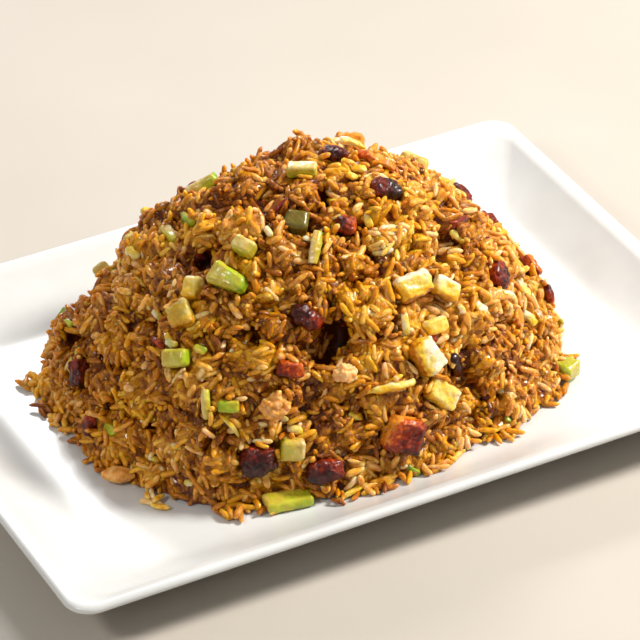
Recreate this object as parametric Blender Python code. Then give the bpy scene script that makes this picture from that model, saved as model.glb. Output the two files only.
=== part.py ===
"""A heap of soy-fried rice with roast pork and vegetables, on a white porcelain platter.

Metres, +Z up. The origin is the middle of the platter's foot and +X runs along the
platter's long side. The heap's best side looks towards -Y.
"""
import math

import bmesh
import bpy
import numpy as np
from mathutils import Matrix, Vector
from mathutils.bvhtree import BVHTree
from mathutils.geometry import delaunay_2d_cdt

MM = 0.001
SEED = 11
GAP = 0.3 * MM                       # kept between pieces that touch

# Platter: a twelve inch rectangle with a flat well, a coved wall and a rounded lip.
PLATTER_LENGTH = 0.305
PLATTER_WIDTH = 0.2165
PLATTER_HEIGHT = 0.0245
CORNER_RADIUS = 0.010
WELL_CORNER_RADIUS = 0.026
COVE_WIDTH = 0.032                   # outer edge to flat well
COVE_POWER = 1.4                     # steeper towards the lip
LIP_WIDTH = 0.0045
LIP_RADIUS = 0.0019
WELL_HEIGHT = 0.008
WALL = 0.0052
FOOT_INSET = 0.042
CORNER_STEPS = 6
COVE_STEPS = 7
LIP_STEPS = 6
UNDER_STEPS = 4

# Heap: a rounded rectangle in plan, a dome in section.
HEAP_HALF_LENGTH = 0.101
HEAP_HALF_WIDTH = 0.0775
HEAP_HEIGHT = 0.098
HEAP_SQUARENESS = 2.5                # 2 is an ellipse in plan
HEAP_SHOULDER = 1.8                  # higher is flatter on top
HEAP_STEEPNESS = 0.68                # lower is steeper at the foot
PEAK_OFFSET = 0.002
HEAP_BOTTOM = WELL_HEIGHT + GAP

# Where the foot of the heap leaves its smooth plan: direction and spread in degrees, push.
FOOT_BULGES = (
    (153, 12, 0.0062),
    (174, 8, -0.0035),
    (206, 9, -0.0042),
    (232, 13, -0.0048),
    (262, 7, -0.0020),
    (296, 11, -0.0042),
    (316, 7, -0.0008),
    (60, 14, -0.0030),
    (100, 10, 0.0030),
    (128, 8, -0.0025),
)

# Clumps (pushed out) and hollows (pushed in) that can be told apart: x, y, reach, push, in mm.
CLUMPS = (
    (92, -10, 9, 3.5),
    (92, -25, 8, 2.5),
    (76, -6, 8, -2.6),
    (64, 8, 10, 3.0),
    (72, 16, 9, -3.5),
    (60, 44, 12, 4.0),
    (45, 30, 12, -3.0),
    (38, 14, 8, -1.5),
    (24, 28, 9, 1.5),
    (3, 34, 10, 1.4),
    (-12, 31, 12, 2.0),
    (-28, 40, 9, 2.4),
    (-53, 38, 10, 2.5),
    (-30, 62, 11, 4.0),
    (-64, 56, 9, -4.0),
    (-70, 42, 9, -4.0),
    (-87, 51, 7, -4.0),
    (-83, 41, 8, 2.5),
    (14, 66, 9, -4.0),
    (0, -62, 12, 2.5),
    (-60, -40, 12, 2.0),
    (-20, -55, 6, -8.0),
    (41, -37, 4, -6.0),
    (-74, 33, 5, -4.0),
    (1, -27, 5, -4.0),
    (-49, -9, 5, -4.0),
    (-12, -21, 4, -4.0),
    (36, -58, 4, -3.5),
    (-50, -66, 5, -3.0),
)
SMALL_CLUMPS = 110
SMALL_CLUMP_REACH = (4.5, 10.0)      # mm
SMALL_CLUMP_PUSH = 3.0               # mm, out or in

# Rice grains show as ridges as long as a grain, with dips between them.
GRAIN_LENGTH = 0.0078
GRAIN_SPACING = 0.0037
DIP_SPACING = 0.0029
GRAINS = 1150
DIPS = 1500
GRAIN_RISE = 0.0014
DIP_DEPTH = 0.0014
FOOT_POINTS = 120
FOOT_RAGGEDNESS = 0.0009
UNDERSIDE_SHARE = 0.90               # of the foot's plan, flat on the well

# The turn of a topping's length is its slope as seen from in front, round to the left and above.
VIEW_ROUND = math.radians(28.5)
VIEW_ABOVE = math.radians(35)
TOPPING_SINK = 0.25                  # share of half its thickness, below the heap's surface

# name, shape, x, y, (length, width, thickness) in mm, turn in degrees, how far it stands out (-1 to 1)
TOPPINGS = (
    ("pork_01", "chunk", 24, -17, (14, 11, 9), 10, 0.35),
    ("pork_02", "chunk", 15, 5.5, (12, 8, 6), 0, 0.15),
    ("pork_03", "strip", 29.5, -0.5, (16, 5, 4), -28, 0.10),
    ("pork_04", "chunk", 3, -25, (9, 8, 7), -10, 0.20),
    ("pork_05", "chunk", -26, -47.2, (15, 9, 8), -25, 0.10),
    ("pork_06", "dice", -37.4, -55.2, (10, 6, 6), -5, 0.20),
    ("pork_07", "chunk", -55, -62.7, (17, 14, 11), 10, 0.10),
    ("pork_08", "chunk", -32, -73, (17, 11, 8), 10, 0.00),
    ("pork_09", "dice", 1, -74, (15, 13, 10), -18, 0.10),
    ("pork_10", "disc", 63, -38, (13, 10, 5), 75, 0.20),
    ("pork_11", "dice", 89, -19, (9, 7, 6), 70, 0.30),
    ("pork_12", "chunk", 91, -30, (9, 6, 5), 80, 0.30),
    ("pork_13", "dice", -92, 15, (10, 7, 7), 105, 0.00),
    ("pork_14", "chunk", -97, -4, (10, 7, 6), 60, 0.10),
    ("green_01", "wedge", -46, -24, (15, 9, 8), -30, 0.35),
    ("green_02", "dice", -37, -18.5, (9, 6, 6), -35, 0.35),
    ("green_03", "dice", -71, -28, (10, 7, 6), 0, 0.45),
    ("green_04", "dice", -61, -51.2, (8, 4.5, 4), 0, 0.30),
    ("green_05", "dice", -42, -66.5, (9, 8, 7), -5, 0.20),
    ("green_06", "strip", -68, -46, (11, 4, 4), 92, 0.25),
    ("green_07", "slab", -29, 31, (14, 5, 5), -25, 0.35),
    ("green_08", "slab", -3, -1, (11, 6, 5), -5, 0.25),
    ("green_09", "dice", -15, -19, (9, 8, 7), -10, 0.10),
    ("green_10", "strip", -14, -32, (13, 5, 4), 78, 0.25),
    ("onion_01", "slab", 19, -48, (15, 9, 7), 25, 0.45),
    ("onion_02", "slab", 33, -49, (10, 8, 6), -18, 0.30),
    ("onion_03", "dice", 16, -63.5, (14, 10, 8), -45, 0.45),
    ("onion_04", "slab", 21, -67.4, (14, 9, 6), -25, 0.30),
    ("onion_05", "slab", 25, -56, (10, 6, 5), 15, 0.10),
    ("onion_06", "chunk", -17, -61, (10, 8, 7), 0, 0.20),
    ("onion_07", "sprout", -2, -68, (20, 4, 4), 8, 0.50),
    ("onion_08", "dice", -57, -15, (9, 6.5, 6), 85, 0.25),
    ("onion_09", "slab", -65, -20, (10, 9, 5), -60, 0.15),
    ("onion_10", "slab", -45.5, -58.8, (10, 9, 5), 45, 0.10),
    ("onion_11", "crescent", 25, 17, (17, 4.5, 4), -5, 0.60),
)

# name, shape, x, y, (length, width, thickness) in mm, turn in plan: lies in the platter's well
ON_PLATTER = (
    ("green_11", "slab", -47, -69.6, (18, 8, 4.5), -9),
    ("green_12", "dice", 88.5, -50, (9, 8, 7.5), 25),
    ("onion_12", "bean", -96, -27, (12.5, 7.5, 7), -25),
)

# The side that doesn't face the viewer has the same kinds: name, shape, size range in mm.
BACK_KINDS = (
    ("pork", "chunk", (9, 16), 0.72, 0.60),
    ("green", "dice", (8, 12), 0.78, 0.68),
    ("onion", "slab", (10, 15), 0.66, 0.46),
    ("pork", "dice", (8, 12), 0.76, 0.68),
    ("green", "slab", (11, 15), 0.60, 0.42),
)
BACK_TOPPINGS = 20
BACK_SPACING = 0.019

COLOURS = {
    "platter": ((0.86, 0.86, 0.83), 0.12),
    "rice": ((0.52, 0.27, 0.07), 0.45),
    "pork": ((0.16, 0.022, 0.010), 0.30),
    "green": ((0.50, 0.52, 0.08), 0.35),
    "onion": ((0.72, 0.60, 0.33), 0.35),
}


# Materials and objects

def clear_scene():
    for obj in list(bpy.data.objects):
        bpy.data.objects.remove(obj, do_unlink=True)


def material(name):
    colour, roughness = COLOURS[name]
    made = bpy.data.materials.get(name) or bpy.data.materials.new(name)
    made.use_nodes = True
    made.diffuse_color = (*colour, 1.0)
    shader = made.node_tree.nodes["Principled BSDF"]
    shader.inputs["Base Color"].default_value = (*colour, 1.0)
    shader.inputs["Roughness"].default_value = roughness
    shader.inputs["Metallic"].default_value = 0.0
    return made


def new_object(name, bm, colour, smooth_angle=None):
    bmesh.ops.recalc_face_normals(bm, faces=bm.faces)
    mesh = bpy.data.meshes.new(name)
    bm.to_mesh(mesh)
    bm.free()
    if smooth_angle is not None:
        mesh.shade_smooth()
        mesh.set_sharp_from_angle(angle=math.radians(smooth_angle))
    mesh.materials.append(material(colour))
    obj = bpy.data.objects.new(name, mesh)
    bpy.context.scene.collection.objects.link(obj)
    return obj


# Platter

def cove_height(inset):
    """Height of the platter's upper face at a distance in from its outer edge."""
    climb = (COVE_WIDTH - inset) / (COVE_WIDTH - LIP_WIDTH)
    climb = min(max(climb, 0.0), 1.0)
    return WELL_HEIGHT + (PLATTER_HEIGHT - WELL_HEIGHT) * climb ** COVE_POWER


def platter_section():
    """Inset and height of each ring: up the cove, round the lip, down the underside to the foot."""
    section = []
    for step in range(COVE_STEPS):
        inset = COVE_WIDTH + (LIP_WIDTH - COVE_WIDTH) * step / COVE_STEPS
        section.append((inset, cove_height(inset)))
    for step in range(LIP_STEPS + 1):
        angle = math.radians(120 - 180 * step / LIP_STEPS)
        inset = LIP_RADIUS * (1 - math.cos(angle))
        section.append((inset, PLATTER_HEIGHT - LIP_RADIUS * (1 - math.sin(angle))))
    for step in range(UNDER_STEPS + 1):
        inset = LIP_WIDTH + (FOOT_INSET - LIP_WIDTH) * step / UNDER_STEPS
        section.append((inset, cove_height(inset) - WALL))
    section.append((FOOT_INSET + MM, 0.0))
    return section


def rounded_rectangle(inset, height):
    """One ring of the platter, counterclockwise from the right end of the front side."""
    share = min(inset / COVE_WIDTH, 1.0)
    radius = CORNER_RADIUS + (WELL_CORNER_RADIUS - CORNER_RADIUS) * share
    reach_x = PLATTER_LENGTH / 2 - inset - radius
    reach_y = PLATTER_WIDTH / 2 - inset - radius
    ring = []
    for corner, (side_x, side_y) in enumerate(((1, -1), (1, 1), (-1, 1), (-1, -1))):
        for step in range(CORNER_STEPS + 1):
            angle = math.radians(90) * (corner - 1 + step / CORNER_STEPS)
            ring.append((side_x * reach_x + radius * math.cos(angle),
                         side_y * reach_y + radius * math.sin(angle), height))
    return ring


def make_platter():
    bm = bmesh.new()
    rings = [[bm.verts.new(point) for point in rounded_rectangle(*row)] for row in platter_section()]
    for ring, following in zip(rings, rings[1:]):
        for i in range(len(ring)):
            j = (i + 1) % len(ring)
            bm.faces.new((ring[i], ring[j], following[j], following[i]))
    bm.faces.new(rings[0])
    bm.faces.new(rings[-1])
    bmesh.ops.triangulate(bm, faces=[face for face in bm.faces if len(face.verts) > 4])
    return new_object("platter", bm, "platter", smooth_angle=40)


# Heap of rice

def dome(angle, share):
    """Points of the smooth heap: share runs along its section, 0 at the peak and 1 at the foot."""
    along = np.interp(share, SECTION_SHARE, SECTION_OUT)
    plan = ((np.abs(np.cos(angle)) / HEAP_HALF_LENGTH) ** HEAP_SQUARENESS
            + (np.abs(np.sin(angle)) / HEAP_HALF_WIDTH) ** HEAP_SQUARENESS) ** (-1 / HEAP_SQUARENESS)
    for heading, spread, push in FOOT_BULGES:
        away = (np.degrees(angle) - heading + 180) % 360 - 180
        plan = plan + push * np.exp(-(away / spread) ** 2) * along ** 4
    rise = (1 - along ** HEAP_SHOULDER) ** HEAP_STEEPNESS
    return np.stack([plan * along * np.cos(angle) + PEAK_OFFSET * rise,
                     plan * along * np.sin(angle),
                     HEAP_BOTTOM + HEAP_HEIGHT * rise], axis=-1)


def section_tables():
    """Share of the section's length, and log of a radius that keeps angles when the dome is unrolled."""
    out = np.linspace(0.0, 1.0, 4001)
    mean = (HEAP_HALF_LENGTH + HEAP_HALF_WIDTH) / 2
    rise = HEAP_HEIGHT * (1 - out ** HEAP_SHOULDER) ** HEAP_STEEPNESS
    steps = np.hypot(np.diff(out * mean), np.diff(rise))
    length = np.concatenate([[0.0], np.cumsum(steps)])
    middle = (out[1:] + out[:-1]) / 2 * mean
    log_radius = np.concatenate([[0.0], np.cumsum(steps / middle)])
    return length / length[-1], out, log_radius, length[-1]


SECTION_SHARE, SECTION_OUT, SECTION_LOG, SECTION_LENGTH = section_tables()


def dome_frame(angle, share):
    """Points of the dome with their two tangents and the outward normal."""
    small = 1e-4
    angle = np.asarray(angle)
    share = np.clip(share, 2 * small, 1 - 2 * small)
    point = dome(angle, share)
    along = (dome(angle, share + small) - dome(angle, share - small)) / (2 * small)
    across = (dome(angle + small, share) - dome(angle - small, share)) / (2 * small)
    normal = np.cross(along, across)
    normal /= np.linalg.norm(normal, axis=-1, keepdims=True)
    return point, along, across, normal


def dome_place(x, y):
    """Angle and share of the dome's point above a place in plan."""
    angle = math.atan2(y, x)
    low, high = 0.0, 1.0
    for _ in range(40):
        share = (low + high) / 2
        point = dome(np.array(angle), np.array(share))
        angle = math.atan2(y, x - (point[2] - HEAP_BOTTOM) / HEAP_HEIGHT * PEAK_OFFSET)
        if math.hypot(point[0], point[1]) < math.hypot(x, y):
            low = share
        else:
            high = share
    return angle, share


def heap_clumps(draw):
    """Centre, reach and push of every clump and hollow."""
    rows = [(*dome_place(x * MM, y * MM), reach * MM, push * MM) for x, y, reach, push in CLUMPS]
    for _ in range(SMALL_CLUMPS):
        angle = draw.uniform(-math.pi, math.pi)
        share = math.sqrt(draw.uniform(0.0, 0.95))
        reach = draw.uniform(*SMALL_CLUMP_REACH) * MM
        rows.append((angle, share, reach, draw.uniform(-1, 1) * SMALL_CLUMP_PUSH * MM))
    table = np.array(rows)
    return dome(table[:, 0], table[:, 1]), table[:, 2], table[:, 3]


def platter_top(points):
    """Height of the platter's upper face under points away from its corners."""
    inset = np.minimum(PLATTER_LENGTH / 2 - np.abs(points[..., 0]),
                       PLATTER_WIDTH / 2 - np.abs(points[..., 1]))
    climb = np.clip((COVE_WIDTH - inset) / (COVE_WIDTH - LIP_WIDTH), 0, 1)
    return WELL_HEIGHT + (PLATTER_HEIGHT - WELL_HEIGHT) * climb ** COVE_POWER


def heap_surface(angle, share, clumps, relief=0.0):
    """Points of the uneven heap, raised along the normal by a grain's relief."""
    centre, reach, push = clumps
    point, _, _, normal = dome_frame(angle, share)
    apart = np.linalg.norm(point[..., None, :] - centre, axis=-1)
    lift = (push * np.exp(-0.5 * (apart / reach) ** 2)).sum(axis=-1) + relief
    point = point + normal * lift[..., None]
    point[..., 2] = np.maximum(point[..., 2], platter_top(point) + MM)
    return point


def darts(draw, clumps, tries, half_length, highest):
    """Seeded random places on the heap: angles and shares of a grain's two ends and its middle."""
    angle = draw.uniform(-math.pi, math.pi, tries)
    share = np.sqrt(draw.uniform(0.0, highest, tries))
    turn = draw.uniform(0.0, math.pi, tries)
    _, along, across, _ = dome_frame(angle, share)
    steps = np.array([-1.0, 0.0, 1.0]) * half_length
    angles = angle[:, None] + steps * (np.sin(turn) / np.linalg.norm(across, axis=-1))[:, None]
    shares = share[:, None] + steps * (np.cos(turn) / np.linalg.norm(along, axis=-1))[:, None]
    inside = (shares.min(axis=1) > 0.004) & (shares.max(axis=1) < 0.975)
    angles, shares = angles[inside], shares[inside]
    return angles, shares, heap_surface(angles, shares, clumps)


def spaced(points, spacing, most, taken):
    """Indices of the darts that land clear of every earlier one, and the filled list of points."""
    kept = []
    for i, trio in enumerate(points):
        if len(kept) == most:
            break
        near = np.abs(taken - trio[1]).max(axis=1) < GRAIN_LENGTH + spacing
        near = taken[near]
        if len(near) and np.linalg.norm(trio[:, None] - near, axis=-1).min() < spacing:
            continue
        taken = np.concatenate([taken, trio])
        kept.append(i)
    return kept, taken


def unrolled(angle, share):
    radius = np.exp(np.interp(share, SECTION_SHARE, SECTION_LOG) - SECTION_LOG[-1])
    return Vector((radius * math.cos(angle), radius * math.sin(angle)))


def make_rice(draw, clumps):
    angles, shares, ends = darts(draw, clumps, GRAINS * 14, GRAIN_LENGTH / 2, 0.95)
    kept, taken = spaced(ends, GRAIN_SPACING, GRAINS, np.empty((0, 3)))
    dip_angles, dip_shares, dip_points = darts(draw, clumps, DIPS * 10, 0.0, 0.95)
    dips, _ = spaced(dip_points, DIP_SPACING, DIPS, taken)
    angle = np.concatenate([angles[kept][:, [0, 2]].ravel(), dip_angles[dips, 1]])
    share = np.concatenate([shares[kept][:, [0, 2]].ravel(), dip_shares[dips, 1]])
    rise = GRAIN_RISE * draw.uniform(0.4, 1.1, 2 * len(kept))
    drop = -DIP_DEPTH * draw.uniform(0.5, 1.3, len(dips))
    points = heap_surface(angle, share, clumps, np.concatenate([rise, drop]))

    foot_angles = np.arange(FOOT_POINTS) * math.tau / FOOT_POINTS
    foot = dome(foot_angles, np.ones(FOOT_POINTS))
    foot[:, :2] *= 1 + draw.uniform(-1, 1, (FOOT_POINTS, 1)) * FOOT_RAGGEDNESS / HEAP_HALF_LENGTH
    foot[:, 2] = platter_top(foot) + GAP
    inner = foot * (UNDERSIDE_SHARE, UNDERSIDE_SHARE, 1.0)
    inner[:, 2] = HEAP_BOTTOM

    first = len(points)
    loop = [first + i for i in range(FOOT_POINTS)]
    edges = [(2 * i, 2 * i + 1) for i in range(len(kept))] + list(zip(loop, loop[1:] + loop[:1]))
    flat = [unrolled(a, s) for a, s in zip(angle, share)] + [unrolled(a, 1.0) for a in foot_angles]
    _, _, faces, origin, _, _ = delaunay_2d_cdt(flat, edges, [], 0, 1e-9)
    bm = bmesh.new()
    verts = [bm.verts.new(point) for point in np.concatenate([points, foot, inner])]
    for face in faces:
        corners = [origin[i][0] for i in face if origin[i]]
        if len(corners) == 3:
            bm.faces.new([verts[i] for i in corners])
    for i, j in zip(loop, loop[1:] + loop[:1]):
        bm.faces.new((verts[j], verts[i], verts[i + FOOT_POINTS], verts[j + FOOT_POINTS]))
    bm.faces.new([verts[i + FOOT_POINTS] for i in reversed(loop)])
    bmesh.ops.triangulate(bm, faces=[face for face in bm.faces if len(face.verts) > 3])
    bmesh.ops.delete(bm, geom=[vert for vert in bm.verts if not vert.link_faces], context="VERTS")
    return new_object("rice", bm, "rice")


# Toppings: each shape lies along X with its thickness up Z, centred on its own origin.
# A cutter is the same shape grown on every side, so it leaves the gap that the piece needs.

def keep_hull(bm):
    """Replaces the mesh by its convex hull."""
    hull = bmesh.ops.convex_hull(bm, input=bm.verts)
    spare = {item for item in hull["geom_interior"] + hull["geom_unused"]
             if isinstance(item, bmesh.types.BMVert)}
    bmesh.ops.delete(bm, geom=list(spare), context="VERTS")
    return bm


def box_mesh(size, draw, grow, uneven=0.10, taper=1.0, bevel=0.16):
    """A block with uneven corners and, on the piece itself, blunt edges."""
    bm = bmesh.new()
    bmesh.ops.create_cube(bm, size=1.0)
    shift = draw.uniform(-uneven / 2, uneven / 2, (8, 3))
    for vert, offset in zip(bm.verts, shift):
        place = Vector(offset) + vert.co
        if vert.co.x > 0:
            place.y *= taper
            place.z *= 0.5 + taper / 2
        vert.co = Vector([axis * (side + 2 * grow) for axis, side in zip(place, size)])
    if not grow:
        bmesh.ops.bevel(bm, geom=bm.edges[:], offset=bevel * min(size), segments=1,
                        profile=0.5, affect="EDGES", clamp_overlap=True)
    corners = [vert.co.copy() for vert in bm.verts]
    bm.clear()
    for corner in corners:
        bm.verts.new(corner)
    return keep_hull(bm)


def make_dice(size, draw, grow):
    return box_mesh(size, draw, grow)


def make_slab(size, draw, grow):
    return box_mesh(size, draw, grow, uneven=0.16)


def make_wedge(size, draw, grow):
    return box_mesh(size, draw, grow, taper=0.62)


def make_chunk(size, draw, grow):
    """The hull of points spread evenly over a squarish ball."""
    count = 18
    bm = bmesh.new()
    wobble = draw.uniform(0.88, 1.04, count)
    for i, scale in enumerate(wobble):
        up = 1 - (2 * i + 1) / count
        out = math.sqrt(1 - up * up)
        spin = i * math.pi * (3 - math.sqrt(5))
        ball = np.array([out * math.cos(spin), out * math.sin(spin), up])
        ball = np.sign(ball) * np.abs(ball) ** 0.78 * scale
        bm.verts.new([axis * (side / 2 + grow) for axis, side in zip(ball, size)])
    return keep_hull(bm)


def lofted(rings):
    """A closed body from rings of points along X, with flat ends."""
    bm = bmesh.new()
    loops = [[bm.verts.new(point) for point in ring] for ring in rings]
    for loop, following in zip(loops, loops[1:]):
        for i in range(len(loop)):
            j = (i + 1) % len(loop)
            bm.faces.new((loop[i], loop[j], following[j], following[i]))
    bm.faces.new(loops[0])
    bm.faces.new(loops[-1])
    return bm


def bent_bar(size, grow, rings, sides, bend, slim):
    """A bar bowed up in the middle by bend times its length, its ends slimmed."""
    length, width, thickness = size
    made = []
    for i in range(rings):
        at = 2 * i / (rings - 1) - 1
        girth = 1 - slim * at * at
        middle = bend * length * (0.5 - at * at)
        lean = 4 * bend * at
        ring = []
        for k in range(sides):
            turn = math.tau * (k + 0.5) / sides
            out = (thickness / 2 * girth + grow) * math.sin(turn)
            ring.append((at * (length / 2 + grow) + out * lean,
                         (width / 2 * girth + grow) * math.cos(turn),
                         middle + out))
        made.append(ring)
    return lofted(made)


def make_strip(size, draw, grow):
    return bent_bar(size, grow, 4, 6, 0.06 + 0.02 * draw.uniform(), 0.20)


def make_crescent(size, draw, grow):
    return bent_bar(size, grow, 7, 5, 0.13 + 0.02 * draw.uniform(), 0.55)


def make_sprout(size, draw, grow):
    return bent_bar(size, grow, 6, 5, 0.10 + 0.02 * draw.uniform(), 0.35)


def make_bean(size, draw, grow):
    return bent_bar(size, grow, 6, 7, 0.04 + 0.02 * draw.uniform(), 0.60)


def make_disc(size, draw, grow):
    """A thick coin with a chamfered upper rim; its round face looks up."""
    length, width, thickness = size
    sides = 11
    bm = bmesh.new()
    loops = []
    for height, scale in ((-0.5, 0.96), (0.22, 1.0), (0.5, 0.84)):
        loop = []
        for k in range(sides):
            turn = math.tau * k / sides
            loop.append(bm.verts.new(((length / 2 * scale + grow) * math.cos(turn),
                                      (width / 2 * scale + grow) * math.sin(turn),
                                      height * (thickness + 2 * grow))))
        loops.append(loop)
    for loop, following in zip(loops, loops[1:]):
        for k in range(sides):
            j = (k + 1) % sides
            bm.faces.new((loop[k], loop[j], following[j], following[k]))
    bm.faces.new(loops[0])
    bm.faces.new(loops[-1])
    return bm


SHAPES = {
    "dice": make_dice,
    "slab": make_slab,
    "wedge": make_wedge,
    "chunk": make_chunk,
    "strip": make_strip,
    "crescent": make_crescent,
    "sprout": make_sprout,
    "bean": make_bean,
    "disc": make_disc,
}


def view_direction(turn):
    """The line that slopes by turn as seen from the viewpoint."""
    right = Vector((math.cos(VIEW_ROUND), -math.sin(VIEW_ROUND), 0))
    up = Vector((math.sin(VIEW_ROUND) * math.sin(VIEW_ABOVE),
                 math.cos(VIEW_ROUND) * math.sin(VIEW_ABOVE), math.cos(VIEW_ABOVE)))
    return right * math.cos(turn) + up * math.sin(turn)


def lying_on(point, normal, along):
    """The placing of a piece at a point, its thickness along the normal."""
    normal = normal.normalized()
    along = (along - normal * along.dot(normal)).normalized()
    across = normal.cross(along)
    return Matrix.Translation(point) @ Matrix((along, across, normal)).transposed().to_4x4()


def add_topping(name, shape, size, placing, number):
    """The piece, and the cutter that clears its bed in the rice."""
    colour = name.split("_")[0]
    pair = []
    for grow in (0.0, GAP * 1.15):
        bm = SHAPES[shape](size, np.random.default_rng(SEED + number), grow)
        bmesh.ops.triangulate(bm, faces=bm.faces)
        bmesh.ops.transform(bm, matrix=placing, verts=bm.verts)
        pair.append(bm)
    smooth_angle = 30 if shape in ("dice", "slab", "wedge") else 60
    piece = new_object(name, pair[0], colour, smooth_angle)
    cutter = new_object(name + "_bed", pair[1], colour)
    return piece, cutter


def heap_topping_placing(x, y, thickness, turn, stand_out, heap):
    """A topping's placing where a line straight down at x, y meets the heap."""
    point, _, _, _ = heap.ray_cast(Vector((x, y, HEAP_HEIGHT * 2)), Vector((0, 0, -1)))
    angle, share = dome_place(x, y)
    normal = Vector(dome_frame(np.array(angle), np.array(share))[3])
    lift = (stand_out - TOPPING_SINK) * thickness / 2
    return lying_on(point + normal * lift, normal, view_direction(turn))


def back_toppings(draw, taken):
    """Toppings for the side turned away, kept apart from each other and from the rest."""
    away = Vector((math.sin(VIEW_ROUND), math.cos(VIEW_ROUND), 0))
    rows = []
    counts = {"pork": 14, "green": 12, "onion": 12}
    while len(rows) < BACK_TOPPINGS:
        angle, share = draw.uniform(-math.pi, math.pi), math.sqrt(draw.uniform(0.02, 0.86))
        point, _, _, normal = dome_frame(np.array(angle), np.array(share))
        point, normal = Vector(point), Vector(normal)
        seen = normal.dot(away) * math.cos(VIEW_ABOVE) - normal.z * math.sin(VIEW_ABOVE)
        if seen < 0.02 or min((point - other).length for other in taken) < BACK_SPACING:
            continue
        taken.append(point)
        kind, shape, (small, large), wide, thick = BACK_KINDS[len(rows) % len(BACK_KINDS)]
        length = draw.uniform(small, large) * MM
        counts[kind] += 1
        size = (length, length * wide * draw.uniform(0.9, 1.1), length * thick)
        placing = lying_on(point + normal * size[2] * draw.uniform(0.0, 0.22), normal,
                           view_direction(draw.uniform(0, math.pi)))
        rows.append((f"{kind}_{counts[kind]:02d}", shape, size, placing))
    return rows


def make_toppings(rice, draw):
    """Makes every topping and returns the cutters for their beds."""
    heap = BVHTree.FromObject(rice, bpy.context.evaluated_depsgraph_get())
    rows = []
    for name, shape, x, y, size, turn, stand_out in TOPPINGS:
        size = tuple(side * MM for side in size)
        placing = heap_topping_placing(x * MM, y * MM, size[2], math.radians(turn), stand_out, heap)
        rows.append((name, shape, size, placing))
    for name, shape, x, y, size, turn in ON_PLATTER:
        size = tuple(side * MM for side in size)
        spin = Vector((math.cos(math.radians(turn)), math.sin(math.radians(turn)), 0))
        point = Vector((x * MM, y * MM, 0))
        outer = point + Vector((math.copysign(size[0], x), math.copysign(size[1], y), 0)) * 0.5
        height = float(platter_top(np.array(outer))) + 2 * GAP + size[2] * 0.56
        rows.append((name, shape, size, lying_on(point + Vector((0, 0, height)), Vector((0, 0, 1)), spin)))
    rows += back_toppings(draw, [row[3].translation.copy() for row in rows])
    return [add_topping(*row, number)[1] for number, row in enumerate(rows)]


def clear_beds(rice, cutters):
    """Cuts the toppings' beds into the rice and drops any scrap that this frees."""
    beds = bpy.data.collections.new("beds")
    bpy.context.scene.collection.children.link(beds)
    for cutter in cutters:
        bpy.context.scene.collection.objects.unlink(cutter)
        beds.objects.link(cutter)
    cut = rice.modifiers.new("beds", "BOOLEAN")
    cut.operation = "DIFFERENCE"
    cut.operand_type = "COLLECTION"
    cut.collection = beds
    cut.solver = "EXACT"
    depsgraph = bpy.context.evaluated_depsgraph_get()
    bm = bmesh.new()
    bm.from_object(rice, depsgraph)
    rice.modifiers.clear()
    for cutter in cutters:
        bpy.data.objects.remove(cutter, do_unlink=True)
    bpy.data.collections.remove(beds)
    bmesh.ops.remove_doubles(bm, verts=bm.verts, dist=0.00002)
    bmesh.ops.triangulate(bm, faces=bm.faces)
    keep_largest(bm)
    bm.to_mesh(rice.data)
    bm.free()


def keep_largest(bm):
    """Deletes every connected piece of the mesh but the largest."""
    unseen = set(bm.verts)
    pieces = []
    while unseen:
        piece, edge = set(), [unseen.pop()]
        while edge:
            vert = edge.pop()
            piece.add(vert)
            near = {link.other_vert(vert) for link in vert.link_edges} & unseen
            unseen -= near
            edge.extend(near)
        pieces.append(piece)
    pieces.sort(key=len)
    for piece in pieces[:-1]:
        bmesh.ops.delete(bm, geom=list(piece), context="VERTS")


def main():
    clear_scene()
    draw = np.random.default_rng(SEED)
    clumps = heap_clumps(draw)
    make_platter()
    rice = make_rice(draw, clumps)
    cutters = make_toppings(rice, draw)
    clear_beds(rice, cutters)


main()
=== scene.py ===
"""Looks of the fried rice on its platter: real grains, glossy toppings and glazed porcelain.

Metres, +Z up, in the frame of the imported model.
"""
import itertools
import math

import bmesh
import bpy
import numpy as np
from mathutils import Matrix, Vector, noise
from mathutils.bvhtree import BVHTree

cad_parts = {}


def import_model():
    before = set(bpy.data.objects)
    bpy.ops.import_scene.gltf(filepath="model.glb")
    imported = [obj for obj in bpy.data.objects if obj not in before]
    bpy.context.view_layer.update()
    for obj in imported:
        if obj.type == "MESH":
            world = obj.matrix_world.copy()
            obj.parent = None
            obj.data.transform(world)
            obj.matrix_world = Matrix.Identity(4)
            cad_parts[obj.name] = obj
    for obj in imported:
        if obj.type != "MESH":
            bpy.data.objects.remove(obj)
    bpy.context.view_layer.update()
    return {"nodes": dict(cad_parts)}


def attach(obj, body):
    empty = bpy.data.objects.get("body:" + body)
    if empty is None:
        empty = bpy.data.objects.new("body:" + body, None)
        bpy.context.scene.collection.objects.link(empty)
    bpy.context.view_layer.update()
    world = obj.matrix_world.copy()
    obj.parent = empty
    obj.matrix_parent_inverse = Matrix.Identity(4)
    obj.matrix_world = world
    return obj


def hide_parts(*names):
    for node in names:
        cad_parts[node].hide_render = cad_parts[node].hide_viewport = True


MM = 0.001
SEED = 5

# Camera: where it looks, how far off it stands, and the way it faces.
LOOK_AT = Vector((11.3, 11.0, 24.5)) * MM
VIEW_DISTANCE = 1.5514
VIEW_ROUND = math.radians(28.5)  # to the left of the platter's long front side
VIEW_ABOVE = math.radians(35.01)
LENS = 221.7
SENSOR = 36.0
FRAME_PIXELS = 640

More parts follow.
